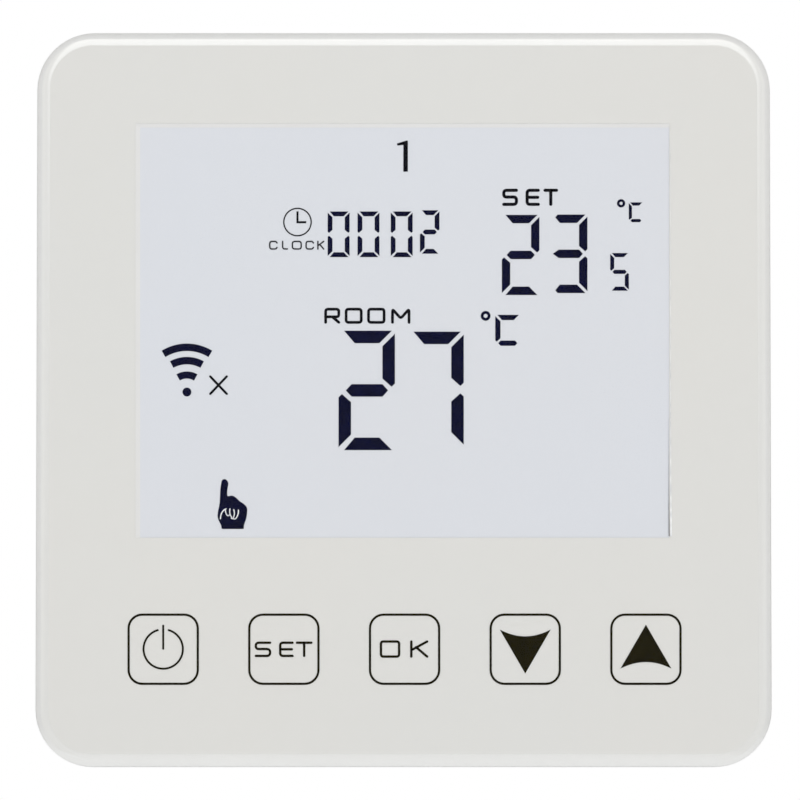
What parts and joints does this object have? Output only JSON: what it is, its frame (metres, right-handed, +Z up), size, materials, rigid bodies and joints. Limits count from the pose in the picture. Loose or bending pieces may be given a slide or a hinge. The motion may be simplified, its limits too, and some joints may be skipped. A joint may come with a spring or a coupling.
{
  "type": "wall thermostat",
  "caption": "Square wall thermostat: glossy panel with a window over a segment display and touch keys, shell hooked on a wall base with a power box behind.",
  "frame": {"origin": "centre of the mounting plate's rear face, on the wall plane", "axes": "+Y into the wall, so the face looks along -Y; +Z up; +X to the right of someone facing the thermostat"},
  "size_m": [0.086, 0.041, 0.086],
  "materials": {
    "panel_glass": "clear polished panel, white printed on its back around a clear window",
    "adhesive": "double-sided foam tape",
    "white_plastic": "fine satin moulded ABS",
    "box_plastic": "satin moulded flame-retardant plastic",
    "polarizer": "satin anti-glare film",
    "lcd_glass": "clear polished",
    "white_film": "fine diffusing film",
    "clear_acrylic": "clear polished with printed dots",
    "frame_plastic": "satin moulded",
    "contact_rubber": "dull silicone",
    "led": "phosphor in a white cup",
    "circuit_board": "solder mask with copper tracks below",
    "black_plastic": "moulded epoxy",
    "shield_can": "tinned, faintly brushed",
    "nickel": "nickel plated, fine turned grain",
    "spring_steel": "plated wire and strip",
    "screw_steel": "zinc plated",
    "sensor_bead": "dipped epoxy",
    "brass": "bare, slightly dulled",
    "galvanised_steel": "galvanised, mottled",
    "relay_plastic": "satin moulded case",
    "transformer_tape": "yellow tape over a dark core",
    "capacitor_sleeve": "shrink sleeve, bare aluminium top",
    "film_resin": "moulded case, resin filled",
    "varistor_resin": "dipped epoxy",
    "fuse_plastic": "moulded case",
    "terminal_plastic": "satin moulded polyamide"
  },
  "bodies": {
    "base": {"mounting_plate": "galvanised_steel", "base_tray": "white_plastic", "power_box": "box_plastic", "power_board": "circuit_board", "header_socket": "black_plastic", "tray_screw_1": "screw_steel", "tray_screw_2": "screw_steel", "relay": "relay_plastic", "transformer": "transformer_tape", "electrolytic_capacitor": "capacitor_sleeve", "film_capacitor": "film_resin", "varistor": "varistor_resin", "fuse": "fuse_plastic", "terminal_block": "terminal_plastic"},
    "front_unit": {"front_panel": "panel_glass", "panel_adhesive": "adhesive", "front_shell": "white_plastic", "lcd_front_polarizer": "polarizer", "lcd_front_glass": "lcd_glass", "lcd_rear_glass": "lcd_glass", "lcd_rear_polarizer": "polarizer", "diffuser_film": "white_film", "light_guide": "clear_acrylic", "reflector_film": "white_film", "lcd_frame": "frame_plastic", "contact_strip": "contact_rubber", "backlight_led_1": "led", "backlight_led_2": "led", "display_board": "circuit_board", "touch_spring_1": "spring_steel", "touch_spring_2": "spring_steel", "touch_spring_3": "spring_steel", "touch_spring_4": "spring_steel", "touch_spring_5": "spring_steel", "board_screw_1": "screw_steel", "board_screw_2": "screw_steel", "board_screw_3": "screw_steel", "board_screw_4": "screw_steel", "controller_chip": "black_plastic", "wireless_module": "shield_can", "buzzer": "black_plastic", "coin_cell": "nickel", "coin_cell_holder": "spring_steel", "room_sensor": "sensor_bead", "header_pins": "brass"},
    "release_latch": {"release_latch": "white_plastic"},
    "terminal_screw_1": {"terminal_screw_1": "screw_steel"},
    "terminal_clamp_1": {"terminal_clamp_1": "brass"},
    "terminal_screw_2": {"terminal_screw_2": "screw_steel"},
    "terminal_clamp_2": {"terminal_clamp_2": "brass"},
    "terminal_screw_3": {"terminal_screw_3": "screw_steel"},
    "terminal_clamp_3": {"terminal_clamp_3": "brass"},
    "terminal_screw_4": {"terminal_screw_4": "screw_steel"},
    "terminal_clamp_4": {"terminal_clamp_4": "brass"},
    "terminal_screw_5": {"terminal_screw_5": "screw_steel"},
    "terminal_clamp_5": {"terminal_clamp_5": "brass"},
    "terminal_screw_6": {"terminal_screw_6": "screw_steel"},
    "terminal_clamp_6": {"terminal_clamp_6": "brass"}
  },
  "joints": [
    {"name": "front_unit_tilt", "type": "hinge", "parent": "base", "child": "front_unit", "pos_m": [0, -0.0019, 0.0419], "axis": [-1, 0, 0], "range_deg": [0, 30]},
    {"name": "latch_press", "type": "hinge", "parent": "base", "child": "release_latch", "pos_m": [0.0138, -0.002, -0.0386], "axis": [0, 1, 0], "range_deg": [0, 6], "stiffness_Nm_per_rad": 0.05},
    {"name": "terminal_screw_1_turn", "type": "hinge", "parent": "base", "child": "terminal_screw_1", "pos_m": [-0.016, 0.0243, -0.0174], "axis": [0, -1, 0], "range_deg": [0, 1800]},
    {"name": "terminal_clamp_1_rise", "type": "slide", "parent": "base", "child": "terminal_clamp_1", "axis": [0, 1, 0], "range_m": [0, 0.0025]},
    {"name": "terminal_screw_2_turn", "type": "hinge", "parent": "base", "child": "terminal_screw_2", "pos_m": [-0.0096, 0.0243, -0.0174], "axis": [0, -1, 0], "range_deg": [0, 1800]},
    {"name": "terminal_clamp_2_rise", "type": "slide", "parent": "base", "child": "terminal_clamp_2", "axis": [0, 1, 0], "range_m": [0, 0.0025]},
    {"name": "terminal_screw_3_turn", "type": "hinge", "parent": "base", "child": "terminal_screw_3", "pos_m": [-0.0032, 0.0243, -0.0174], "axis": [0, -1, 0], "range_deg": [0, 1800]},
    {"name": "terminal_clamp_3_rise", "type": "slide", "parent": "base", "child": "terminal_clamp_3", "axis": [0, 1, 0], "range_m": [0, 0.0025]},
    {"name": "terminal_screw_4_turn", "type": "hinge", "parent": "base", "child": "terminal_screw_4", "pos_m": [0.0032, 0.0243, -0.0174], "axis": [0, -1, 0], "range_deg": [0, 1800]},
    {"name": "terminal_clamp_4_rise", "type": "slide", "parent": "base", "child": "terminal_clamp_4", "axis": [0, 1, 0], "range_m": [0, 0.0025]},
    {"name": "terminal_screw_5_turn", "type": "hinge", "parent": "base", "child": "terminal_screw_5", "pos_m": [0.0096, 0.0243, -0.0174], "axis": [0, -1, 0], "range_deg": [0, 1800]},
    {"name": "terminal_clamp_5_rise", "type": "slide", "parent": "base", "child": "terminal_clamp_5", "axis": [0, 1, 0], "range_m": [0, 0.0025]},
    {"name": "terminal_screw_6_turn", "type": "hinge", "parent": "base", "child": "terminal_screw_6", "pos_m": [0.016, 0.0243, -0.0174], "axis": [0, -1, 0], "range_deg": [0, 1800]},
    {"name": "terminal_clamp_6_rise", "type": "slide", "parent": "base", "child": "terminal_clamp_6", "axis": [0, 1, 0], "range_m": [0, 0.0025]}
  ],
  "couplings": [
    {"joint": "terminal_screw_1_turn", "follows": "terminal_clamp_1_rise", "rad_per_m": 12566},
    {"joint": "terminal_screw_2_turn", "follows": "terminal_clamp_2_rise", "rad_per_m": 12566},
    {"joint": "terminal_screw_3_turn", "follows": "terminal_clamp_3_rise", "rad_per_m": 12566},
    {"joint": "terminal_screw_4_turn", "follows": "terminal_clamp_4_rise", "rad_per_m": 12566},
    {"joint": "terminal_screw_5_turn", "follows": "terminal_clamp_5_rise", "rad_per_m": 12566},
    {"joint": "terminal_screw_6_turn", "follows": "terminal_clamp_6_rise", "rad_per_m": 12566}
  ]
}
